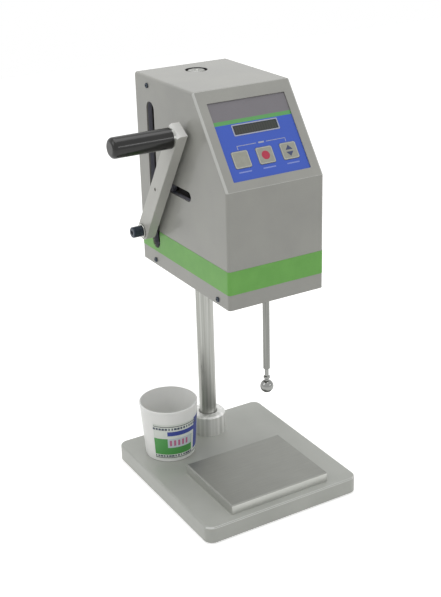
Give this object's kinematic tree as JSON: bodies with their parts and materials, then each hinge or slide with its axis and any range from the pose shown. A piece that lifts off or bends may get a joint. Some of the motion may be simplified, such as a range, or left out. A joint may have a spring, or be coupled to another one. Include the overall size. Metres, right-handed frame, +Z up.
{
  "type": "rotational viscometer",
  "caption": "Bench rotational viscometer: sloped-panel measuring head on a column stand, lowered by a side lever, with a ball spindle over a work plate and a sample cup.",
  "frame": {"origin": "on the bench, under the head's centre plane, midway between the base's front and rear edges", "axes": "+Z up; +X to the operator's right; -Y towards the operator, the side with the panel and the spindle"},
  "size_m": [0.249, 0.2377, 0.4982],
  "materials": {
    "head_paint": "semi-gloss warm grey paint",
    "base_paint": "semi-gloss warm grey paint",
    "band_green": "green adhesive film",
    "work_steel": "ground steel with fine wear",
    "chrome": "polished chrome plate",
    "bright_steel": "turned bright steel",
    "black_screw": "black oxide steel",
    "zinc_steel": "zinc plated steel",
    "bronze": "sintered bronze",
    "frame_aluminium": "milled aluminium",
    "black_grip": "glossy black phenolic",
    "black_plastic": "moulded black plastic",
    "panel_film": "printed polyester panel film",
    "display_glass": "clear window over a dark display",
    "bezel_print": "light grey print",
    "key_rubber": "pale grey keypad",
    "circuit": "green circuit board",
    "motor_case": "dark motor case",
    "supply_case": "folded aluminium case",
    "white_cup": "translucent white polypropylene",
    "label_paper": "printed paper label",
    "mat_rubber": "black rubber sheet",
    "rocker_plastic": "glossy black plastic"
  },
  "bodies": {
    "stand": {"base_plate": "base_paint", "base_mat": "mat_rubber", "base_screws": "zinc_steel", "work_plate": "work_steel", "column_collar": "bright_steel", "collar_grub_screw": "black_screw", "column": "chrome", "column_bolt": "zinc_steel", "pivot_clamp": "frame_aluminium", "clamp_bolts": "black_screw", "pivot_shaft": "bright_steel", "pivot_washer": "bright_steel", "pivot_knob": "black_screw"},
    "head": {"head_cover": "head_paint", "head_band": "band_green", "top_ring": "black_plastic", "cover_screws": "black_screw", "left_frame_plate": "frame_aluminium", "right_frame_plate": "frame_aluminium", "lower_block": "frame_aluminium", "upper_block": "frame_aluminium", "front_block": "frame_aluminium", "lower_bush": "bronze", "upper_bush": "bronze", "head_floor": "head_paint", "floor_screws": "zinc_steel", "bearing_housing": "frame_aluminium", "spindle_bearings": "bright_steel", "motor_pillars": "zinc_steel", "motor_plate": "frame_aluminium", "drive_motor": "motor_case", "front_panel": "panel_film", "display_window": "display_glass", "display_bezel": "bezel_print", "display_module": "circuit", "key_board": "circuit", "key_switches": "black_plastic", "control_board": "circuit", "power_supply": "supply_case", "rear_panel": "head_paint", "rear_screws": "zinc_steel", "mains_inlet": "black_plastic", "power_switch_frame": "black_plastic"},
    "lever": {"lever_arm": "head_paint", "lever_bush": "bronze", "lever_grip": "black_grip", "grip_rod": "bright_steel", "grip_washer": "bright_steel"},
    "follower": {"follower_roller": "bronze", "follower_stud": "bright_steel"},
    "spindle": {"drive_shaft": "bright_steel", "spindle_tip": "chrome", "shaft_coupling": "frame_aluminium", "motor_shaft": "bright_steel"},
    "key_left": {"key_left": "key_rubber"},
    "key_centre": {"key_centre": "key_rubber"},
    "key_right": {"key_right": "key_rubber"},
    "switch_rocker": {"power_switch_rocker": "rocker_plastic"},
    "cup": {"sample_cup": "white_cup", "cup_label": "label_paper"}
  },
  "joints": [
    {"name": "head_slide", "type": "slide", "parent": "stand", "child": "head", "axis": [0, 0, -1], "range_m": [0, 0.09]},
    {"name": "lever_swing", "type": "hinge", "parent": "stand", "child": "lever", "pos_m": [-0.0744, 0.0839, 0.3167], "axis": [1, 0, 0], "range_deg": [0, 81.56]},
    {"name": "follower_slide", "type": "slide", "parent": "head", "child": "follower", "axis": [0, -1, 0], "range_m": [0, 0.0276]},
    {"name": "spindle_spin", "type": "hinge", "parent": "head", "child": "spindle", "pos_m": [0, -0.061, 0.2685], "axis": [0, 0, 1], "continuous": true},
    {"name": "switch_tilt", "type": "hinge", "parent": "head", "child": "switch_rocker", "pos_m": [-0.036, 0.1139, 0.3025], "axis": [1, 0, 0], "range_deg": [0, 14]},
    {"name": "cup_lift", "type": "slide", "parent": "stand", "child": "cup", "axis": [0, 0, 1], "range_m": [0, 0.06]},
    {"name": "key_left_press", "type": "slide", "parent": "head", "child": "key_left", "axis": [0, 0.8115, -0.5844], "range_m": [0, 0.0004], "stiffness_N_per_m": 1500},
    {"name": "key_centre_press", "type": "slide", "parent": "head", "child": "key_centre", "axis": [0, 0.8115, -0.5844], "range_m": [0, 0.0004], "stiffness_N_per_m": 1500},
    {"name": "key_right_press", "type": "slide", "parent": "head", "child": "key_right", "axis": [0, 0.8115, -0.5844], "range_m": [0, 0.0004], "stiffness_N_per_m": 1500}
  ],
  "couplings": [
    {"joint": "lever_swing", "follows": "head_slide", "rad_per_m": 15.72},
    {"joint": "follower_slide", "follows": "head_slide", "ratio": 0.305}
  ]
}
